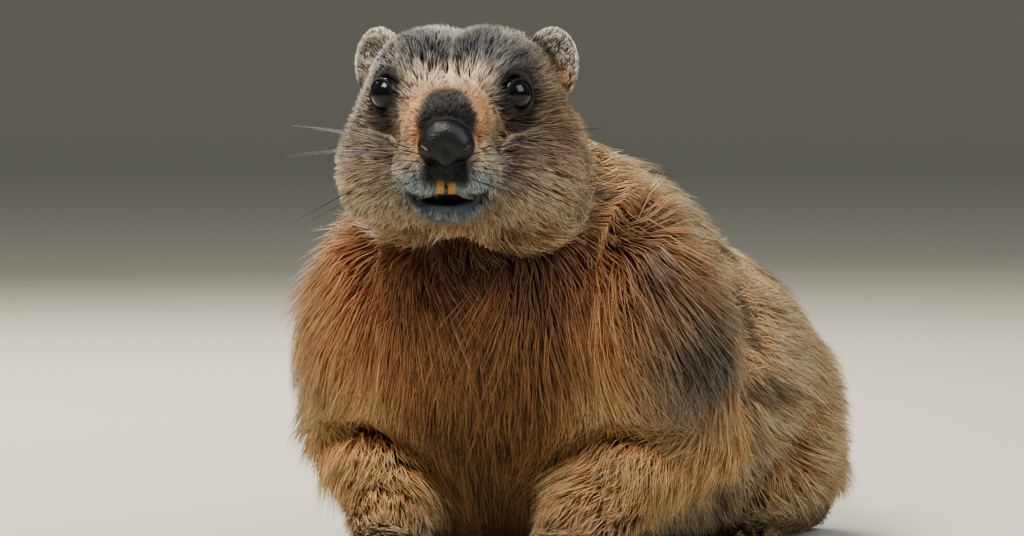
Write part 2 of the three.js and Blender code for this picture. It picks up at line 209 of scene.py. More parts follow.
def tail_line():
    """A line through the marks: each stretch is the Catmull-Rom cubic of its four nearest marks"""
    m = np.vstack([2 * TAIL_MARKS[0] - TAIL_MARKS[1], TAIL_MARKS, 2 * TAIL_MARKS[-1] - TAIL_MARKS[-2]])
    s = np.linspace(0, len(TAIL_MARKS) - 1 - 1e-6, TAIL_STEPS + 1)
    i = s.astype(int)
    t = (s - i)[:, None]
    a, b, c, d = m[i], m[i + 1], m[i + 2], m[i + 3]
    return 0.5 * (2 * b + (c - a) * t + (2 * a - 5 * b + 4 * c - d) * t**2 + (3 * b - a - 3 * c + d) * t**3)


TAIL_LINE = tail_line()
TAIL_SHARE = np.linspace(0, 1, TAIL_STEPS + 1)
TAIL_RADII = 28 + 6 * np.sin(np.pi * TAIL_SHARE) - 14 * smooth(0.6, 1, TAIL_SHARE)


def tail_form(p):
    """The tail: tapered limbs along its line"""
    f = limb(p, TAIL_LINE[0], TAIL_LINE[1], TAIL_RADII[0], TAIL_RADII[1])
    for i in range(1, TAIL_STEPS):
        f = melt(f, limb(p, TAIL_LINE[i], TAIL_LINE[i + 1], TAIL_RADII[i], TAIL_RADII[i + 1]), 4)
    return f


EAR = {"out": 38, "back": 44, "up": 13, "size": (12.5, 7, 17), "face": 0.42}
CUP = {"at": (0, -6.2, 0), "size": (9.2, 7, 12.8)}


def ear_frame(q):
    """The head's frame to an ear's: mirrored, from the ear's middle, turned to face forwards and out"""
    m = mirrored(q) - np.array([EAR["out"], EAR["back"], EAR["up"]], q.dtype)
    c, s = math.cos(EAR["face"]), math.sin(EAR["face"])
    return np.stack([m[..., 0] * c + m[..., 1] * s, m[..., 1] * c - m[..., 0] * s, m[..., 2]], -1)


def ear_form(q):
    """The ear's outside less its cup"""
    e = ear_frame(q)
    return np.maximum(egg(e, (0, 0, 0), EAR["size"]) + 1.2, 0.8 - egg(e, CUP["at"], CUP["size"]))


HEAD, TRUNK, FORE, HIND, TAIL = range(5)
SHARE_WIDTH = 7  # millimetres over which one part's coat turns into the next


def distances(p):
    """Fields of head, trunk, forelegs, hind legs and tail, one row each"""
    return np.stack([head_form(to_head(p)), trunk_form(p), fore_form(p), hind_form(p), tail_form(p)])


def shares(d):
    """How far a point belongs to each part: e to the power of minus its field over the share width,
    made to sum to 1"""
    w = np.exp(-(d - d.min(0)) / SHARE_WIDTH)
    return w / w.sum(0)


def slope(field, p, step=0.6):
    """A field's slope by central differences"""
    out = np.empty(p.shape)
    for i in range(3):
        e = np.zeros(3)
        e[i] = step
        out[:, i] = (field(p + e) - field(p - e)) / (2 * step)
    return out


def settle(field, p, level=0.0, rounds=3):
    """Newton steps along the slope to where the field has the level"""
    for _ in range(rounds):
        g = slope(field, p)
        miss = np.clip(field(p) - level, -6, 6)
        p = p - (miss / (g * g).sum(-1).clip(0.2))[:, None] * g
    return p


def eye_centre():
    """The left eye's centre and the way it looks, in the head's frame"""
    at = settle(head_form, np.array([EYE_SPOT]), 0, 6)
    up = unit(slope(head_form, at))[0]
    return at[0] - up * (EYE_RADIUS - EYE_PROUD), up


EYE_AT, EYE_UP = eye_centre()


def eye_gap(q):
    """Distance to the nearer eye's centre"""
    m = mirrored(q) - EYE_AT.astype(q.dtype)
    return np.sqrt((m * m).sum(-1))


TAIL_COAT = 12


def coat_depth(p, q, share):
    """How deep the coat is: shallow on muzzle, lids and feet, deep on cheeks, neck and trunk"""
    y, z = q[..., 1], q[..., 2]
    head = 1.6 + 2.4 * smooth(-42, -8, y) + 2.5 * smooth(0, 40, y)
    head = head + 7 * smooth(-12, 34, y) * smooth(-12, -45, z) + 6 * smooth(-46, -66, z)
    head = head * (0.25 + 0.75 * smooth(EYE_RADIUS, EYE_RADIUS + 11, eye_gap(q)))
    height = p[..., 2]
    trunk = 21 - 11 * smooth(60, 14, height)
    fore = 1.6 + 5 * smooth(15, 34, height) + 14 * smooth(34, 84, height)
    hind = 1.8 + 13 * smooth(16, 46, height)
    depth = share[HEAD] * head + share[TRUNK] * trunk
    depth = depth + share[FORE] * fore + share[HIND] * hind
    return depth + share[TAIL] * TAIL_COAT


def outline_of(d):
    """The tips of the coat: all parts melted together"""
    f = melt(melt(d[TRUNK], d[HEAD], 26), d[FORE], 26)
    return melt(melt(f, d[HIND], 12), d[TAIL], 12)


LIP = {"at": (0, -45.2, -29.5), "size": (7.5, 7.2, 6.2)}  # the lip that bears the nose


def coat_level(p):
    """Zero on the skin, and the coat's depth at the tips of the hair"""
    q = to_head(p)
    d = distances(p)
    body = outline_of(d) + coat_depth(p, q, shares(d))
    body = melt(body, egg(q, LIP["at"], LIP["size"]), 4)
    return np.minimum(body, ear_form(q))


MOUTH = {"at": (0, -43, -43.4), "size": (19.5, 16, 2.5), "lift": 0.014}
NOTCH = {"at": (0, -50, -39.6), "size": (4.9, 12, 3.6)}


def mouth_form(q):
    """The opening: a flat egg whose corners rise by the lift times x squared, and the upper lip's split"""
    bent = np.stack([q[..., 0], q[..., 1], q[..., 2] - MOUTH["lift"] * q[..., 0] ** 2], -1)
    return melt(egg(bent, MOUTH["at"], MOUTH["size"]), egg(q, NOTCH["at"], NOTCH["size"]), 2)


SOCKET_GAP = 0.5  # between an eyeball and its socket
FLOOR_GAP = 0.4  # between the floor and the skin's flats


def skin_level(p):
    """The skin with its openings: eye sockets and mouth are cut out, and the floor cuts it flat"""
    q = to_head(p)
    f = np.maximum(coat_level(p), EYE_RADIUS + SOCKET_GAP - eye_gap(q))
    return np.maximum(np.maximum(f, -mouth_form(q)), FLOOR_GAP - p[..., 2])


# Meshes


def in_slabs(field, points, size=250_000):
    """A field on many points, a slab of them at a time to spare memory"""
    flat = points.reshape(-1, 3)
    values = [field(flat[i : i + size]) for i in range(0, len(flat), size)]
    return np.concatenate(values).reshape(points.shape[:-1])


def net(field, axes):
    """Surface nets: each grid cell that the zero level crosses has a vertex at the mean of the
    crossings on its edges, and each crossed grid edge has a face between its four cells"""
    grid = np.stack(np.meshgrid(*axes, indexing="ij"), -1).astype(np.float32)
    value = in_slabs(field, grid)
    cells = tuple(len(a) - 1 for a in axes)
    total, count = np.zeros(cells + (3,)), np.zeros(cells)
    crossings = []
    for axis in range(3):
        others = [i for i in range(3) if i != axis]
        low = np.take(value, range(cells[axis]), axis)
        high = np.take(value, range(1, cells[axis] + 1), axis)
        crossed = (low < 0) != (high < 0)
        t = np.where(crossed, low / np.where(crossed, low - high, 1), 0)
        place = np.take(grid, range(cells[axis]), axis).astype(float)
        step = np.diff(axes[axis])
        shape = [1, 1, 1]
        shape[axis] = -1
        place[..., axis] += t * step.reshape(shape)
        for a in (0, 1):
            for b in (0, 1):
                cut = [slice(None)] * 3
                cut[others[0]] = slice(a, a + cells[others[0]])
                cut[others[1]] = slice(b, b + cells[others[1]])
                hit = crossed[tuple(cut)]
                total += place[tuple(cut)] * hit[..., None]
                count += hit
        crossings.append((axis, crossed, low < 0))
    used = count > 0
    number = np.full(cells, -1)
    number[used] = np.arange(used.sum())
    points = total[used] / count[used][:, None]
    faces = []
    for axis, crossed, inside in crossings:
        u, v = (axis + 1) % 3, (axis + 2) % 3
        at = np.array(np.nonzero(crossed)).T
        at = at[(at[:, u] > 0) & (at[:, v] > 0) & (at[:, u] < cells[u]) & (at[:, v] < cells[v])]
        back_u, back_v = np.eye(3, dtype=int)[u], np.eye(3, dtype=int)[v]
        ring = [at, at - back_u, at - back_u - back_v, at - back_v]
        quad = np.stack([number[tuple(r.T)] for r in ring], 1)
        flip = ~inside[tuple(at.T)]
        quad[flip] = quad[flip][:, ::-1]
        faces.append(quad)
    return points, np.concatenate(faces)


def steps(*marks):
    """Grid lines: (from, to, step) stretches joined end to end"""
    lines = [np.arange(low, high, step) for low, high, step in marks]
    return np.concatenate(lines + [[marks[-1][1]]])


EYE_BOX = np.array(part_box("eye_left")) / MM
SHIFT = EYE_BOX.mean(0) - from_head(EYE_AT)
SHIFT[2] = 0


def make_piece(name, points, faces, material, slot, nodes=(), colour=None, uv=None):
    """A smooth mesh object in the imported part's frame. Faces are rows of three or four numbers."""
    mesh = bpy.data.meshes.new(name)
    mesh.vertices.add(len(points))
    mesh.vertices.foreach_set("co", ((points + SHIFT) * MM).astype(np.float32).ravel())
    sides = faces.shape[1]
    mesh.loops.add(faces.size)
    mesh.loops.foreach_set("vertex_index", faces.astype(np.int32).ravel())
    mesh.polygons.add(len(faces))
    mesh.polygons.foreach_set("loop_start", np.arange(0, faces.size, sides, dtype=np.int32))
    mesh.polygons.foreach_set("use_smooth", np.ones(len(faces), bool))
    if colour is not None:
        layer = mesh.color_attributes.new("markings_and_painted_light", "FLOAT_COLOR", "POINT")
        opaque = np.concatenate([colour, np.ones((len(colour), 1))], 1)
        layer.data.foreach_set("color", opaque.astype(np.float32).ravel())
    if uv is not None:
        layer = mesh.uv_layers.new(name="OFBake")
        layer.data.foreach_set("uv", uv[faces.ravel()].astype(np.float32).ravel())
    mesh.update(calc_edges=True)
    mesh.materials.append(material)
    piece = bpy.data.objects.new(name, mesh)
    bpy.context.scene.collection.objects.link(piece)
    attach(piece, "root")
    if nodes:
        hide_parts(*nodes)
    return piece


def tube(line, radii, around=8, flat=1.0):
    """Rings round each point of a line, square to it, closed by a point at each end. Flat squeezes
    each ring across its second direction."""
    way = unit(np.gradient(line, axis=0))
    side = unit(np.cross(way, np.where(np.abs(way[:, 2:]) > 0.9, [[0, 1, 0]], [[0, 0, 1]])))
    up = np.cross(side, way)
    a = np.linspace(0, 2 * np.pi, around, endpoint=False)[None, :, None]
    ring = side[:, None] * np.cos(a) + up[:, None] * np.sin(a) * flat
    points = (line[:, None] + ring * np.asarray(radii)[:, None, None]).reshape(-1, 3)
    return closed_rings(points, len(line), around, line[0], line[-1])


def closed_rings(points, rings, around, first, last):
    """Faces between rings of points, and a fan to one point at each end"""
    r, s = np.meshgrid(np.arange(rings - 1), np.arange(around), indexing="ij")
    a, b = (r * around + s).ravel(), (r * around + (s + 1) % around).ravel()
    faces = [np.stack([a, b, b + around], 1), np.stack([a, b + around, a + around], 1)]
    s = np.arange(around)
    pole, end = rings * around, (rings - 1) * around
    faces.append(np.stack([np.full(around, pole), (s + 1) % around, s], 1))
    faces.append(np.stack([np.full(around, pole + 1), end + s, end + (s + 1) % around], 1))
    return np.vstack([points, [first], [last]]), np.concatenate(faces)[:, ::-1]


def joined(parts):
    """Several (points, faces) as one"""
    counts = np.cumsum([0] + [len(p) for p, _ in parts[:-1]])
    return np.vstack([p for p, _ in parts]), np.vstack([f + n for (_, f), n in zip(parts, counts)])


# Materials


def add_node(tree, kind, inputs, **settings):
    """A node with its settings. An input that is a socket is linked, any other is a value."""
    node = tree.nodes.new(kind)
    for key, value in settings.items():
        setattr(node, key, value)
    for key, value in inputs.items():
        if isinstance(value, bpy.types.NodeSocket):
            tree.links.new(value, node.inputs[key])
        else:
            node.inputs[key].default_value = value
    return node


def new_material(name, **values):
    """A Principled material. Returns it, its tree and its shader."""
    material = bpy.data.materials.new(name)
    material.use_nodes = True
    tree = material.node_tree
    shader = tree.nodes["Principled BSDF"]
    for key, value in values.items():
        shader.inputs[key.replace("_", " ")].default_value = value
    return material, tree, shader


def rgba(code):
    """sRGB hex to the four linear values of a colour socket"""
    return (*linear(code), 1.0)


def marks_and_painted_light_colour(tree, millimetres, low, high):
    """The piece's markings with their painted light and shade, darker and lighter in patches of a real size
    """
    marks = add_node(tree, "ShaderNodeAttribute", {}, attribute_name="markings_and_painted_light")
    place = add_node(tree, "ShaderNodeTexCoord", {})
    noise = add_node(tree, "ShaderNodeTexNoise", {
        "Vector": place.outputs["Object"], "Scale": 1 / (millimetres * MM), "Detail": 3.0})
    light = add_node(tree, "ShaderNodeMapRange", {
        "Value": noise.outputs["Fac"], "From Min": 0.3, "From Max": 0.7, "To Min": low, "To Max": high})
    return add_node(tree, "ShaderNodeVectorMath", {
        0: marks.outputs["Color"], 1: light.outputs["Result"]}, operation="MULTIPLY").outputs["Vector"]


def guard_hair():
    """Guard hair: keratin, smooth along its length, so a soft broad gloss"""
    material, tree, shader = new_material(
        "guard_hair", Roughness=0.56, IOR=1.55, Specular_IOR_Level=0.32)
    tree.links.new(marks_and_painted_light_colour(tree, 2.5, 0.86, 1.14), shader.inputs["Base Color"])
    return material


def furred_hide():
    """Hide under the fur: matt and dark, with the close underfur that shows where the coat parts"""
    material, tree, shader = new_material("furred_hide", Roughness=0.9)
    tree.links.new(marks_and_painted_light_colour(tree, 1.2, 0.75, 1.2), shader.inputs["Base Color"])
    return material


def plain_material(name, colour, roughness, grain_mm=None, depth_mm=0.1, **values):
    """A smooth natural material with a fine grain of a real size"""
    material, tree, shader = new_material(name, Base_Color=rgba(colour), Roughness=roughness, **values)
    if grain_mm:
        place = add_node(tree, "ShaderNodeTexCoord", {})
        cells = add_node(tree, "ShaderNodeTexVoronoi", {
            "Vector": place.outputs["Object"], "Scale": 1 / (grain_mm * MM)})
        bump = add_node(tree, "ShaderNodeBump", {
            "Height": cells.outputs["Distance"], "Distance": depth_mm * MM, "Strength": 0.6})
        tree.links.new(bump.outputs["Normal"], shader.inputs["Normal"])
    return material


HAIR = guard_hair()
HIDE = furred_hide()
# Wet cornea over a nearly black iris: one small clear highlight
EYE_GLOSS = plain_material("wet_dark_eye", "#05070c", 0.13, Specular_IOR_Level=0.3)
# Bare lid skin: black and matt, with a pebble of 0.7 mm
LID_SKIN = plain_material("black_lid_skin", "#060708", 0.75, 0.7, 0.12, Specular_IOR_Level=0.2)
# Hairless nose: black, a little moist, with a pebble of 0.8 mm
NOSE_LEATHER = plain_material("moist_nose_leather", "#050708", 0.42, 0.8, 0.25, Specular_IOR_Level=0.3)
# A rodent's enamel: amber from its iron, smooth and semi-gloss
ENAMEL = plain_material("amber_enamel", "#94611f", 0.3, 0.9, 0.03)
# Claw horn: dark brown keratin, worn smooth
HORN = plain_material("claw_horn", "#2b221c", 0.4, 0.6, 0.05)
# Whiskers: stiff black keratin
WHISKER = plain_material("whisker", "#0b0a0a", 0.35)


# Markings, with painted light and shade: each colour of the coat has a dark root, a middle and a tip


def painted(count, layers):
    """Lays colours over each other, each by its weight. A colour is root, middle and tip."""
    out = np.zeros((count, 3, 3))
    for weight, root, middle, tip in layers:
        w = np.broadcast_to(weight, (count,))[:, None, None]
        out = out * (1 - w) + w * np.array([linear(root), linear(middle), linear(tip)])
    return out


def face_marks_and_painted_shade(q):
    """Markings of the head, in its own frame, and painted shade on the throat under the chin"""
    x, y, z = np.abs(q[:, 0]), q[:, 1], q[:, 2]
    front = smooth(4, -14, y)
    eye = eye_gap(q)
    muzzle = smooth(-12, -34, y)
    brow = front * bell(np.hypot(x - 22, 1.2 * (z - 13)), 0, 8)
    snout = np.hypot(x, 0.82 * (z + 11))
    under_eye = bell(x, 26, 3.6) * smooth(-4, -12, z) * smooth(-34, -26, z)
    under_nose = smooth(13, 8, x) * smooth(-18, -24, z) * smooth(-38, -34, z)
    return [
        (1.0, "#1b1613", "#594a3b", "#ab9c86"),
        (smooth(8, 20, z) * smooth(-25, -4, y), "#06090b", "#1b1e20", "#565b5f"),
        (smooth(-14, -34, z) * smooth(-34, 4, y), "#30241a", "#b89c72", "#fff2d4"),
        (bell(x, 38, 15) * bell(z, -14, 15) * smooth(-22, -4, y), "#080605", "#2b241e", "#857868"),
        (smooth(30, 12, y) * bell(z, 19, 6.5) * smooth(38, 30, x), "#020507", "#0a141c", "#2c3a43"),
        (front * smooth(13, 5, z) * smooth(-14, -2, z) * smooth(24, 17, x), "#c9a67c", "#f8dab2", "#fff0d6"),
        (brow * 0.8, "#2b2b28", "#747670", "#b0b1aa"),
        (muzzle * smooth(30, 22, x) * smooth(-38, -30, z), "#8a6a4a", "#d6bb97", "#f0dfc4"),
        (muzzle * bell(snout, 15, 3.6) * smooth(-26, -14, z), "#7c4a22", "#c98c58", "#e8b47c"),
        (bell(x, 21, 5) * bell(z, -19, 8) * muzzle, "#2b2620", "#6c6355", "#a69c8a"),
        (under_eye * front, "#0c0b0b", "#2a231d", "#5c5044"),
        (muzzle * bell(z, -35, 7) * smooth(26, 14, x), "#2a3238", "#8b9ca1", "#c6d1d2"),
        (muzzle * smooth(14, 11, snout) * smooth(-20, -34, y), "#030405", "#07090b", "#12161a"),
        (muzzle * under_nose, "#030405", "#090c0e", "#161b1f"),
        (muzzle * smooth(-43, -47, z) * smooth(22, 10, x), "#1a2227", "#60717a", "#9fb0b5"),
        (smooth(-50, -60, z), "#2b1708", "#9a6c3c", "#dcb27a"),
        # painted shade: the throat under the chin, darkened where the head shades it
        (smooth(-50, -56, z) * smooth(34, 20, x), "#0d0804", "#33220f", "#7a5a36"),
        (bell(eye, EYE_RADIUS + 1.5, 4.2), "#050607", "#0b0c0f", "#17181b"),
        (bell(y, 20, 7) * bell(z, -2, 10) * smooth(30, 36, x), "#1f130e", "#6d4331", "#9c7159"),
    ]


WHORLS = np.array([[-43.0, -14.0, 138.0], [36.0, -18.0, 134.0]])  # where the chest's hair parts
WHORL_DARK, WHORL_LIE = 20, 24  # reach of a whorl's dark roots, and of its turn of the hair


def body_marks_and_painted_light(p, up, share):
    """Markings of neck, trunk, legs and tail, with painted shade under the chin and low on the trunk, and
    painted light on the right flank
    """
    x, y, z = p.T
    front = smooth(0.1, 0.75, -up[:, 1]) * smooth(90, 20, y)
    trunk = share[TRUNK] + share[HEAD]
    upper = trunk + share[FORE]
    back = smooth(90, 150, z) * smooth(40, 110, y)
    dark = body_flecks(p)
    whorl = sum(bell(np.linalg.norm(p - at, axis=1), 0, WHORL_DARK) for at in WHORLS)
    return [
        (1.0, "#1f150d", "#bd9562", "#fae6bf"),
        (back * 0.35, "#17110d", "#7c6545", "#e6d5ae"),
        (smooth(250, 320, y) * trunk, "#1f150e", "#7a5a3c", "#c9a878"),
        (front * trunk, "#140802", "#6d4325", "#bf8a55"),
        (front * trunk * bell(np.abs(x), 72, 28) * bell(z, 124, 40), "#240d02", "#a8683a", "#ecb87e"),
        (front * trunk * smooth(26, 44, np.abs(x)) * smooth(108, 84, z), "#3a200c", "#c8915a", "#ffd69c"),
        (front * trunk * smooth(96, 60, z), "#1d1006", "#6a4827", "#b98a55"),
        (front * trunk * smooth(132, 150, z), "#2b1406", "#b5804a", "#f0c690"),
        # painted shade: the middle of the upper chest under the chin, darkened where the head shades it
        (front * trunk * smooth(120, 150, z) * smooth(36, 16, np.abs(x)), "#0b0503", "#38220f", "#94693f"),
        (front * trunk * bell(x, 0, 18) * smooth(120, 60, z) * 0.8, "#100803", "#47301a", "#8f6c46"),
        (trunk * dark * (1 - front) * 0.8, "#0a0807", "#2a2119", "#7d6a50"),
        # painted light: the right flank and shoulder, on the side the key light falls from, made paler with
        # near white tips
        (smooth(-74, -100, x) * smooth(50, 100, z), "#3b3326", "#bdb39a", "#f3efdf"),
        (share[FORE], "#3a200c", "#c98f52", "#ffd294"),
        (trunk * whorl * front, "#020101", "#0b0603", "#38220f"),
        (upper * bell(y, 32, 34) * bell(z, 102, 29) * smooth(56, 74, x), "#020202", "#12120d", "#8b8b80"),
        (upper * streak(p, (44, 24, 210), (78, 4, 138), 13), "#020202", "#121212", "#8a8c8a"),
        (upper * streak(p, (-60, 2, 180), (-66, -6, 152), 7), "#060403", "#241a12", "#6c5a48"),
        (share[FORE] * smooth(40, 16, z), "#3f2b1a", "#9b7a50", "#dfd3b9"),
        (share[HIND], "#241a11", "#9c7746", "#e6cc9c"),
        (share[HIND] * smooth(30, 12, z), "#4a3828", "#a98a60", "#d8c49c"),
        (share[TAIL], "#1a120c", "#5b4330", "#9c7d5a"),
        (share[TAIL] * smooth(440, 490, y), "#0c0908", "#1c1613", "#2c241f"),
        # painted shade: the trunk darker low down, where the belly turns under towards the floor
        (smooth(30, 8, z) * trunk * smooth(20, 60, y), "#1d130a", "#6d4a28", "#a98353"),
    ]


def streak(p, start, end, width):
    """A soft band along a line between two places"""
    return bell(limb(p, start, end, 0, 0), 0, width)


def body_flecks(p):
    """Soft dark flecks some 20 mm across: two slanted waves, each bent by another, multiplied"""
    a = np.sin(p @ [0.11, 0.05, 0.13] + 1.7 * np.sin(p @ [0.05, -0.09, 0.03]))
    b = np.sin(p @ [-0.06, 0.12, 0.09] + 1.3 * np.sin(p @ [0.08, 0.03, -0.1]) + 2)
    return smooth(0.1, 0.75, a * b)


def markings_and_painted_light(p, up):
    """Root, middle and tip colours of the markings and of the painted light and shade at places on the skin,
    rows of three colours
    """
    q = to_head(p)
    share = shares(distances(p))
    ears = smooth(1.5, -1.5, ear_form(q) - outline_of(distances(p)))
    colours = painted(len(p), body_marks_and_painted_light(p, up, share))
    head = painted(len(p), face_marks_and_painted_shade(q))
    colours += share[HEAD][:, None, None] * (head - colours)
    e = ear_frame(q)
    cup = smooth(-1.5, -4, e[:, 1]) * smooth(13.5, 9, np.hypot(e[:, 0] * 1.35, e[:, 2]))
    ear = painted(len(p), [
        (1.0, "#4a4337", "#b7ac95", "#e9e3d0"),
        (cup, "#14130f", "#55503f", "#8d8873"),
        (smooth(-2, -10, e[:, 2]), "#0a0c0c", "#1d2020", "#34383a"),
    ])
    return colours + ears[:, None, None] * (ear - colours)


# The coat


def lie_of_coat(p, up):
    """Which way the hair lies: away from the nose on the head, down the chest and round its two
    whorls, back and down along the flanks, along the legs to the toes and along the tail"""
    q = to_head(p)
    share = shares(distances(p))[:, :, None]
    sign = np.sign(p[:, :1])
    head = turned_from_head(unit(q - NOSE_TIP))
    front = smooth(0.25, 0.8, -up[:, 1:2])
    flank = np.concatenate([0.15 * sign, np.ones_like(sign), np.full_like(sign, -0.45)], 1)
    chest = np.concatenate([0.006 * p[:, :1], np.full_like(sign, 0.1), -np.ones_like(sign)], 1)
    trunk = unit(flank) * (1 - front) + unit(chest) * front
    for whorl in WHORLS:
        gap = p - whorl
        near = bell(np.linalg.norm(gap, axis=1, keepdims=True), 0, WHORL_LIE)
        trunk = trunk + 2.0 * near * unit(gap)
    down = np.array(WRIST, float) - np.array(ELBOW, float)
    low = smooth(36, 14, p[:, 2:])
    arm = unit(np.concatenate([sign * down[0], np.full_like(sign, down[1]), np.full_like(sign, down[2])], 1))
    fore = arm * (1 - low) + np.array([0, -1, -0.2]) * low
    hind = unit(flank) * (1 - low) + np.array([0, -1, -0.1]) * low
    tail = np.array([[0.15, 1.0, -0.1]])
    way = share[HEAD] * head + share[TRUNK] * trunk + share[FORE] * fore
    way = way + share[HIND] * hind + share[TAIL] * tail
    ear = ear_form(q) < coat_level(p) + 0.2
    out = turned_from_head(np.stack([np.sign(q[:, 0]) * 0.5, np.full(len(q), -0.2), np.full(len(q), 1.0)], 1))
    return along(np.where(ear[:, None], out, way), up)


def clumps(p, size):
    """The nearest of scattered middles to each point: one in each cell of a grid, moved at random.
    Returns that middle and three random numbers of its own."""
    cell = np.floor(p / size).astype(np.int64)
    best = np.full(len(p), np.inf)
    middle, chance = np.zeros_like(p), np.zeros_like(p)
    for step in np.array(np.meshgrid([-1, 0, 1], [-1, 0, 1], [-1, 0, 1])).reshape(3, -1).T:
        key = cell + step
        seed = (key * [73856093, 19349663, 83492791]).sum(1)
        phases = [seed * k % 100003 * 12.9898 for k in (1, 7, 13, 3, 5, 11)]
        random = np.stack([np.sin(phase) * 43758.5453 % 1 for phase in phases], 1)
        at = (key + random[:, :3]) * size
        gap = ((at - p) ** 2).sum(1)
        near = gap < best
        best[near], middle[near], chance[near] = gap[near], at[near], random[near, 3:]
    return middle, chance


def settled_coat(p, level, size=60_000):
    """Points moved to their own levels of the coat, a slab of them at a time to spare memory"""
    parts = [slice(i, i + size) for i in range(0, len(p), size)]
    return np.concatenate([settle(coat_level, p[part], level[part], 2) for part in parts])


def unwrap(p):
    """A chart of a piece's own shape: longitude and latitude about its middle, kept off the border"""
    way = unit(p - p.mean(0))
    u = np.arctan2(way[:, 0], -way[:, 1]) / (2 * np.pi) + 0.5
    v = np.arcsin(way[:, 2].clip(-1, 1)) / np.pi + 0.5
    return 0.02 + 0.96 * np.stack([u, v], -1)


HAIR_RINGS = 2
LENGTH_BASE, LENGTH_DEPTH = 1.4, 1.8  # a hair's length: millimetres, and times the coat's depth
WIDTH_BASE, WIDTH_DEPTH = 0.3, 0.021  # and its width
BLADE_THICK = 0.22  # half a blade's thickness over its breadth
CLUMP_FINE, CLUMP_COARSE = 3.2, 8.0
COARSE_FROM = 6  # the depth of coat from which its clumps are coarse
PALE_SHARE, PALE_TIP = 0.25, 1.5  # a quarter of the hairs have paler tips
DARK_SHARE, DARK_TIP = 0.24, 1.2  # and about as many are dark to the tip
EAR_COAT = 1.3
SEEN_AT = 0.6  # a hair takes the markings and painted light and shade of the place that this share of its length lies over
LOWEST = 0.45  # no hair goes below this height
PATCH = (0.0012, 0.003)  # each blade's patch of the map, half across and down


def blades(line, width, up, share_at):
    """Closed three-sided blades along rows of points, each ending in a point. At share s of the length
    a blade's breadth is its width times 1 - 0.75 s squared."""
    count, rings = len(line), line.shape[1] - 1
    way = unit(np.gradient(line, axis=1))
    side = unit(np.cross(way, up[:, None]))
    lift = np.cross(side, way)
    breadth = width[:, None] * (1 - 0.75 * share_at[:-1] ** 2)
    half = side[:, :-1] * breadth[:, :, None] / 2
    thick = lift[:, :-1] * breadth[:, :, None] * BLADE_THICK
    middle = line[:, :-1]
    corners = np.stack([middle - half - thick, middle + half - thick, middle + thick], 2)
    corners[..., 2] = np.maximum(corners[..., 2], LOWEST)
    points = np.concatenate([corners.reshape(count, -1, 3), line[:, -1:]], 1)
    local = [[0, 2, 1]]
    for r in range(rings - 1):
        for s in range(3):
            a, b = 3 * r + s, 3 * r + (s + 1) % 3
            local += [[a, b, b + 3], [a, b + 3, a + 3]]
    last = 3 * (rings - 1)
    local += [[last + s, last + (s + 1) % 3, 3 * rings] for s in range(3)]
    first = points.shape[1] * np.arange(count)[:, None, None]
    faces = np.array(local)[None, :, ::-1] + first
    return points.reshape(-1, 3), faces.reshape(-1, 3)


def shaded(colours, share_at):
    """Root, middle and tip colours spread along the blades: the middle one is reached about halfway"""
    ramp = np.interp(share_at, [0, 0.3, 0.7, 1], [0, 0.7, 1.35, 2])
    low = np.minimum(ramp.astype(int), 1)
    mix = (ramp - low)[None, :, None]
    shade = colours[:, low] * (1 - mix) + colours[:, low + 1] * mix
    shade = np.concatenate([np.repeat(shade[:, :-1], 3, 1), shade[:, -1:]], 1)
    return shade.reshape(-1, 3).clip(0, 1)


def chart_places(roots, rings, share_at):
    """Map places: each blade has a small patch of its own at its root's place on the chart"""
    across = np.concatenate([np.tile([-1, 1, 0], rings), [0]]) * PATCH[0]
    down = np.concatenate([np.repeat(share_at[:-1], 3), [1]]) * PATCH[1]
    uv = unwrap(roots)[:, None] + np.stack([across, down], -1)[None]
    return uv.reshape(-1, 2)


def tufts(roots, up, rings):
    """Hairs from their roots. The place at share s of a hair's length stands at its reach times s to
    the power 0.7 above the skin, and hairs of one clump draw together towards their tips. Returns
    points, faces, colours and map places."""
    count = len(roots)
    q = to_head(roots)
    share = shares(distances(roots))
    depth = np.where(ear_form(q) < coat_level(roots) + 0.2, EAR_COAT, coat_depth(roots, q, share))
    fine, coarse = clumps(roots, CLUMP_FINE), clumps(roots, CLUMP_COARSE)
    middle, chance = (np.where(depth[:, None] < COARSE_FROM, a, b) for a, b in zip(fine, coarse))
    lie = lie_of_coat(roots, up)
    swing = 0.4 * (chance[:, :1] - 0.5) + 0.15 * draw.normal(size=(count, 1))
    lie = unit(lie + swing * np.cross(lie, up))
    length = LENGTH_BASE + LENGTH_DEPTH * depth
    length = length * (0.75 + 0.3 * chance[:, 1] + 0.25 * draw.random(count))
    width = (WIDTH_BASE + WIDTH_DEPTH * depth) * (0.7 + 0.6 * draw.random(count))
    reach = (0.72 + 0.33 * draw.random(count)) * depth
    gather = 0.3 + 0.3 * chance[:, 2]
    colours = markings_and_painted_light(roots + lie * (SEEN_AT * length)[:, None], up)
    tone = (0.62 + 0.5 * chance[:, 0] + 0.3 * draw.random(count))[:, None, None]
    kind = draw.random(count)[:, None, None]
    colours = colours * tone
    tips = np.where(kind > 1 - PALE_SHARE, colours[:, 2:] * PALE_TIP, colours[:, 2:])
    colours[:, 2:] = np.where(kind < DARK_SHARE, colours[:, :1] * DARK_TIP, tips)
    share_at = np.linspace(0, 1, rings + 1)
    inwards = middle - roots
    inwards -= (inwards * up).sum(1, keepdims=True) * up
    lines = []
    for s in share_at:
        p = roots + lie * (length * s)[:, None] + inwards * (gather * s**1.5)[:, None]
        p = settled_coat(p, reach * s**0.7 - 0.5 * (s == 0))
        p[:, 2] = np.maximum(p[:, 2], 0.5 + 0.3 * s)
        lines.append(p)
    points, faces = blades(np.stack(lines, 1), width, up, share_at)
    return points, faces, shaded(colours, share_at), chart_places(roots, rings, share_at)


# The skin


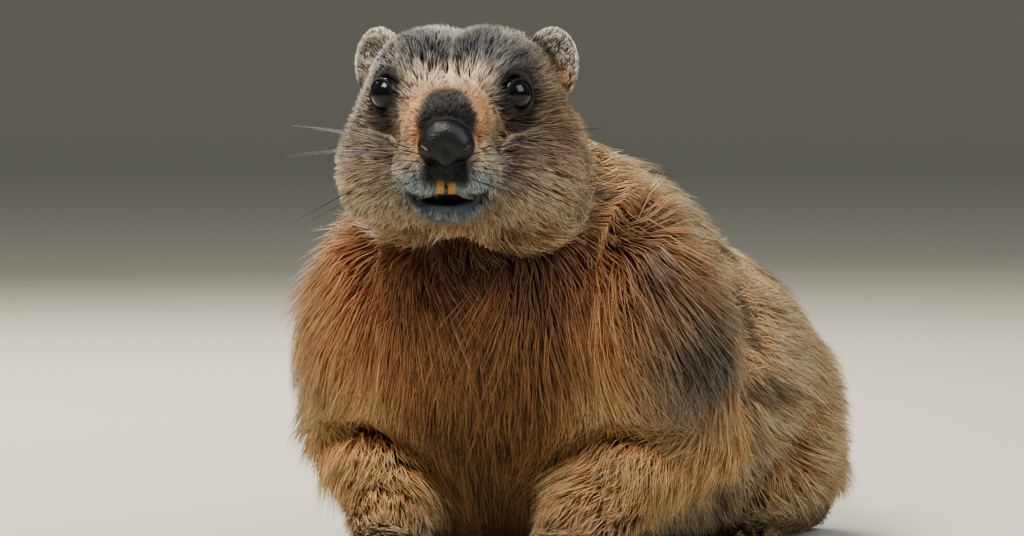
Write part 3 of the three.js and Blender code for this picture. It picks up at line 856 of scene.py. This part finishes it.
def skin():
    """One seamless skin, fine round the face and ears"""
    axes = (
        steps((-150, -62, 5), (-62, 52, 1.5), (52, 150, 5)),
        steps((-100, 42, 1.6), (42, 540, 5)),
        steps((-2, 150, 5), (150, 262, 1.5)),
    )
    return net(skin_level, axes)


SKIN_POINTS, SKIN_FACES = skin()
FLESH = ["head", "neck", "torso_front", "torso_rear", "tail"]
FLESH += [part + side for part in ("ear", "foreleg", "hindleg") for side in ("_left", "_right")]
SKIN_UP = unit(slope(coat_level, SKIN_POINTS))
hide_colour = markings_and_painted_light(SKIN_POINTS, SKIN_UP)
hide_colour = 0.75 * hide_colour[:, 0] + 0.25 * hide_colour[:, 1]
make_piece("skin", SKIN_POINTS, SKIN_FACES, HIDE, "back_fur", FLESH, hide_colour)


# The coat's regions


LID_BARE, SOLE_BARE = 2.6, 3  # no hair grows this near the eyeballs, or below this height


def regions(p, up):
    """How much each region of the coat claims a place, and where no hair grows at all"""
    q = to_head(p)
    d = distances(p)
    share = shares(d)
    body = outline_of(d) + coat_depth(p, q, share)
    ear = (ear_form(q) < body - 0.3) * (np.abs(q[:, 0]) > 20)
    y = p[:, 1]
    front = smooth(0.0, 0.45, -up[:, 1]) * smooth(115, 70, y)
    bare = (eye_gap(q) < EYE_RADIUS + LID_BARE) | (mouth_form(q) < 0.9) | (nose_form(q) < 0.2)
    bare |= p[:, 2] < SOLE_BARE
    keep = ~bare * (1.0 - ear)
    head = share[HEAD] * keep
    trunk = share[TRUNK] * keep
    return {
        "face": head * smooth(16, 4, q[:, 1]) * (1 + 2.5 * smooth(0, -32, q[:, 1])),
        "crown": head * smooth(4, 16, q[:, 1]),
        "ears": ear * ~bare,
        "chest": trunk * front,
        "shoulders": trunk * (1 - front) * smooth(150, 110, y),
        "flanks": trunk * (1 - front) * smooth(110, 150, y) * smooth(255, 220, y),
        "rump": trunk * smooth(220, 255, y),
        "forelegs": share[FORE] * keep,
        "hindlegs": share[HIND] * keep,
        "tail": share[TAIL] * keep,
    }


def nose_form(q):
    """The nose: a dome over a wider pad, less two curled nostrils and the groove below them"""
    m = mirrored(q)
    f = melt(egg(q, (0, -47.5, -15.5), (9.2, 8.2, 7)), egg(m, (6, -48.3, -20.5), (6.2, 7.4, 6)), 5)
    f = melt(f, egg(q, (0, -48.6, -25), (4, 6, 5)), 3)
    hole = limb(m, (10.2, -53.6, -19.4), (4.6, -58.6, -23.6), 0.9, 1.7)
    groove = np.maximum(np.abs(q[..., 0]) - 0.45, egg(q, (0, -59, -25), (2, 4.5, 6)))
    return np.maximum(np.maximum(f, -hole), -groove)


def scatter():
    """Roots for each region: places drawn on the skin by area and claim"""
    a, b, c, d = (SKIN_POINTS[SKIN_FACES[:, i]] for i in range(4))
    corners = np.stack([np.concatenate([a, a]), np.concatenate([b, c]), np.concatenate([c, d])], 1)
    area = np.linalg.norm(np.cross(corners[:, 1] - corners[:, 0], corners[:, 2] - corners[:, 0]), axis=1)
    middle = corners.mean(1)
    claims = regions(middle, unit(slope(coat_level, middle)))
    out = {}
    for name, count in COAT_COUNTS.items():
        chance = claims[name] * area
        faces = draw.choice(len(area), int(count * 1.1), p=chance / chance.sum())
        u, v = draw.random((2, len(faces), 1))
        u, v = np.where(u + v > 1, 1 - u, u), np.where(u + v > 1, 1 - v, v)
        tri = corners[faces]
        p = tri[:, 0] + u * (tri[:, 1] - tri[:, 0]) + v * (tri[:, 2] - tri[:, 0])
        p = settled_coat(p, np.zeros(len(p)))
        up = unit(slope(coat_level, p))
        good = (regions(p, up)[name] > 0.02) & (p[:, 2] > 2)
        out[name] = p[good][:count], up[good][:count]
    return out


# Hairs of each region: closer where they are short
COAT_COUNTS = {
    "face": 19500, "crown": 17500, "ears": 5000, "chest": 19500, "shoulders": 19500, "flanks": 19500,
    "rump": 12000, "forelegs": 16000, "hindlegs": 9000, "tail": 8000,
}
COAT_SLOTS = {
    "face": "head_fur", "crown": "head_fur", "ears": "ear_fur", "chest": "chest_fur",
    "shoulders": "chest_fur", "flanks": "back_fur", "rump": "back_fur", "forelegs": "leg_fur",
    "hindlegs": "leg_fur", "tail": "tail_fur",
}
for name, (roots, up) in scatter().items():
    points, faces, colour, uv = tufts(roots, up, HAIR_RINGS)
    make_piece("coat_" + name, points, faces, HAIR, COAT_SLOTS[name], (), colour, uv)


# Eyes, nose, teeth, claws and whiskers


def both_sides(points, faces):
    """The left part and its mirror image, in the head's frame"""
    return [("left", points, faces), ("right", points * [-1, 1, 1], faces[:, ::-1])]


def round_ball(centre, radius, around=48, down=32):
    """A ball by longitude and latitude, closed at the poles"""
    b = np.linspace(0, np.pi, down + 1)[1:-1]
    a = np.linspace(0, 2 * np.pi, around, endpoint=False)
    ring = np.stack([np.outer(np.sin(b), np.cos(a)), np.outer(np.sin(b), np.sin(a)),
                     np.outer(np.cos(b), np.ones(around))], -1)
    points, faces = closed_rings(ring.reshape(-1, 3), down - 1, around, [0, 0, 1], [0, 0, -1])
    return centre + radius * points, faces


for side, points, faces in both_sides(*round_ball(EYE_AT, EYE_RADIUS)):
    make_piece("eyeball_" + side, from_head(points), faces, EYE_GLOSS, "eye", ["eye_" + side])


LID_STEPS, LID_SIDES = 48, 8


def lid(out=0.25, thick=0.62):
    """A lid all round the eye: a closed cord that lies on the ball, at an angle from the way the eye
    looks of 61 degrees at the corners, 66 below and 59 above"""
    side = unit(np.cross([0, 0, 1], EYE_UP))
    high = np.cross(EYE_UP, side)
    a = np.linspace(0, 2 * np.pi, LID_STEPS + 1)[:-1]
    lean = np.radians(61 + 5 * np.sin(a) ** 2 - 7 * np.maximum(np.sin(a), 0))[:, None]
    way = EYE_UP * np.cos(lean) + (side * np.cos(a)[:, None] + high * np.sin(a)[:, None]) * np.sin(lean)
    line = EYE_AT + way * (EYE_RADIUS + out)
    b = np.linspace(0, 2 * np.pi, LID_SIDES + 1)[:-1]
    run = unit(np.roll(line, -1, 0) - np.roll(line, 1, 0))
    across = np.cross(run, way)
    ring = way[:, None] * np.cos(b)[None, :, None] + across[:, None] * np.sin(b)[None, :, None] * 1.3
    points = (line[:, None] + ring * thick).reshape(-1, 3)
    i, j = (k.ravel() for k in np.meshgrid(np.arange(LID_STEPS), np.arange(LID_SIDES), indexing="ij"))
    here, there = i * LID_SIDES, (i + 1) % LID_STEPS * LID_SIDES
    beside = (j + 1) % LID_SIDES
    return points, np.stack([here + j, here + beside, there + beside, there + j], 1)


for side, points, faces in both_sides(*lid()):
    make_piece("lid_" + side, from_head(points), faces, LID_SKIN, "nose_skin")

NOSE_STEP = 0.55
nose_axes = [np.arange(low, high, NOSE_STEP) for low, high in ((-15, 15.1), (-64, -36), (-33, 4))]
nose_points, nose_faces = net(nose_form, nose_axes)
make_piece("nose_pad", from_head(nose_points), nose_faces, NOSE_LEATHER, "nose_skin", ["nose"])


def incisor():
    """An upper incisor: rounded sections down a bent line, wide and thin, ending in a chisel edge"""
    s = np.linspace(0, 1, 10)
    forward = 1.2 * np.sin(np.pi * s * 0.6)
    line = np.stack([np.full(10, 2.4), -46.2 - forward, -31 - 9.4 * s], 1)
    radii = 1.95 - 0.35 * s
    points, faces = tube(line, radii, 14)
    middle = np.interp(points[:, 2], line[::-1, 2], line[::-1, 1])
    thin = 0.62 - 0.5 * smooth(-37.5, -40.4, points[:, 2])
    points[:, 1] = middle - 0.6 + (points[:, 1] - middle) * thin
    return points, faces


for side, points, faces in both_sides(*incisor()):
    make_piece("tooth_" + side, from_head(points), faces, ENAMEL, "tooth", ["incisor_" + side])


def claws(digits, radius, length):
    """Bent claws: at share s of its length a claw has fallen by 0.72 of its base's height times s to
    the power 1.8, and its radius is down by 0.82 of itself times s to the power 1.2"""
    s = np.linspace(0, 1, 8)
    parts = []
    for x, y, _ in toe_places(digits):
        toe = digits["toe"]
        base = np.array([x, y - toe[1] + 3, 0.95 * toe[2]])
        line = base + np.stack([0 * s, -length * 0.62 * s, -0.72 * base[2] * s**1.8], 1)
        parts.append(tube(line, radius * (1 - 0.82 * s**1.2), 8, 0.8))
    points, faces = joined(parts)
    return joined([(points, faces), (points * [-1, 1, 1], faces[:, ::-1])])


make_piece("claws_fore", *claws(FORE_DIGITS, 1.9, 15), HORN, "leg_fur")
make_piece("claws_hind", *claws(HIND_DIGITS, 1.8, 12), HORN, "leg_fur")


WHISKER_ROWS, WHISKER_COLUMNS, WHISKER_RADIUS = 4, 5, 0.26


def whiskers():
    """Whiskers in rows on the lip pads: each line leaves the skin outwards and bends back and down
    with the square of its length"""
    parts = []
    for side in (1, -1):
        for row in range(WHISKER_ROWS):
            for column in range(WHISKER_COLUMNS):
                height = -24 - 3.2 * row + 0.6 * column
                root = np.array([side * (11 + 2.6 * column), -47 + 4.2 * column, height])
                root = settle(head_form, root[None], -1.0)[0]
                out = side * (0.85 + 0.1 * draw.random())
                way = unit(np.array([out, -0.25 + 0.18 * column, 0.28 - 0.2 * row]))
                length = (24 + 9 * column) * (0.8 + 0.3 * draw.random())
                s = np.linspace(0, 1, 9)[:, None]
                line = root + way * length * s + np.array([0, 0.28, -0.12]) * length * s**2
                parts.append(tube(line, WHISKER_RADIUS * (1 - 0.8 * s[:, 0]), 5))
    points, faces = joined(parts)
    return from_head(points), faces


make_piece("whiskers", *whiskers(), WHISKER, "nose_skin")


# Stage, light and camera


FLOOR_SIDES, FLOOR_RADIUS, RIM_RADIUS = 96, 6, 2.5  # metres


def stage_floor():
    """A round floor whose rim rises far behind every view: a level profile, then a quarter of a circle"""
    a = np.linspace(0, np.pi / 2, 16)
    radius = np.concatenate([np.linspace(0.05, FLOOR_RADIUS, 8), FLOOR_RADIUS + RIM_RADIUS * np.sin(a)])
    height = np.concatenate([np.zeros(8), RIM_RADIUS - RIM_RADIUS * np.cos(a)])
    turn = np.linspace(0, 2 * np.pi, FLOOR_SIDES, endpoint=False)
    points = np.stack([np.outer(radius, np.cos(turn)), np.outer(radius, np.sin(turn)),
                       np.outer(height, np.ones(FLOOR_SIDES))], -1).reshape(-1, 3)
    rings, sides = np.arange(len(radius) - 1), np.arange(FLOOR_SIDES)
    i, j = (k.ravel() for k in np.meshgrid(rings, sides, indexing="ij"))
    here, there, beside = i * FLOOR_SIDES, (i + 1) * FLOOR_SIDES, (j + 1) % FLOOR_SIDES
    faces = np.stack([here + j, there + j, there + beside, here + beside], 1)
    mesh = bpy.data.meshes.new("stage_floor")
    mesh.from_pydata(points.tolist(), [], faces.tolist() + [list(range(FLOOR_SIDES))])
    mesh.polygons.foreach_set("use_smooth", np.ones(len(mesh.polygons), bool))
    # Matt pale paper: it throws light up under the belly and shows the shadow of the coat's rim
    mesh.materials.append(plain_material("pale_studio_floor", "#b9b6ab", 0.9))
    floor = bpy.data.objects.new("stage_floor", mesh)
    bpy.context.scene.collection.objects.link(floor)


CHEST_AT = (0, -0.15, 0.12)  # metres


def area_light(name, azimuth, elevation, distance, size, power, colour):
    """A soft square light that looks at the animal's chest"""
    a, e = math.radians(azimuth), math.radians(elevation)
    way = mathutils.Vector((math.sin(a) * math.cos(e), -math.cos(a) * math.cos(e), math.sin(e)))
    data = bpy.data.lights.new(name, "AREA")
    data.size, data.energy, data.color = size, power, linear(colour)
    lamp = bpy.data.objects.new(name, data)
    lamp.location = mathutils.Vector(CHEST_AT) + way * distance
    lamp.rotation_euler = way.to_track_quat("Z", "Y").to_euler()
    bpy.context.scene.collection.objects.link(lamp)


PHOTO_SIZE = (1024, 536)
HEAD_PIXEL = (454, 96)  # where the point between the eyes shows
CAMERA_TURN, CAMERA_RISE, CAMERA_FAR = 16, 3, 2000.0  # degrees, degrees and millimetres
MM_A_PIXEL = 2000.0 / 4651.0  # at the head
SENSOR = 36.0  # the camera's width of picture in millimetres


def photo_camera():
    """The photo's view: its lens follows from the distance and the head's size in the picture"""
    a, e, far = math.radians(CAMERA_TURN), math.radians(CAMERA_RISE), CAMERA_FAR
    focal = far / MM_A_PIXEL
    back = np.array([math.sin(a) * math.cos(e), -math.cos(a) * math.cos(e), math.sin(e)])
    right = np.array([math.cos(a), math.sin(a), 0])
    high = np.cross(back, right)
    across, down = (np.array(HEAD_PIXEL) - np.array(PHOTO_SIZE) / 2) / focal * far
    eye = (HEAD_AT + SHIFT + back * far - right * across + high * down) * MM
    data = bpy.data.cameras.new("photo_camera")
    data.sensor_width, data.lens = SENSOR, SENSOR * focal / PHOTO_SIZE[0]
    camera = bpy.data.objects.new("photo_camera", data)
    turn = mathutils.Matrix([list(right), list(high), list(back)]).transposed()
    camera.matrix_world = mathutils.Matrix.Translation(eye.tolist()) @ turn.to_4x4()
    bpy.context.scene.collection.objects.link(camera)
    bpy.context.scene.camera = camera


# A warm key from above on the animal's right, a cool fill from its left and a rim light from behind
stage_floor()
area_light("key", -30, 60, 2.2, 1.0, 85, "#fff6ea")
area_light("fill", 65, 40, 2.4, 1.6, 48, "#f1f4ff")
area_light("rim", 215, 42, 1.8, 0.9, 60, "#fff3df")
world = bpy.data.worlds.new("soft_room")
world.use_nodes = True
world.node_tree.nodes["Background"].inputs["Color"].default_value = rgba("#cfd4cc")
world.node_tree.nodes["Background"].inputs["Strength"].default_value = 0.28
bpy.context.scene.world = world
photo_camera()
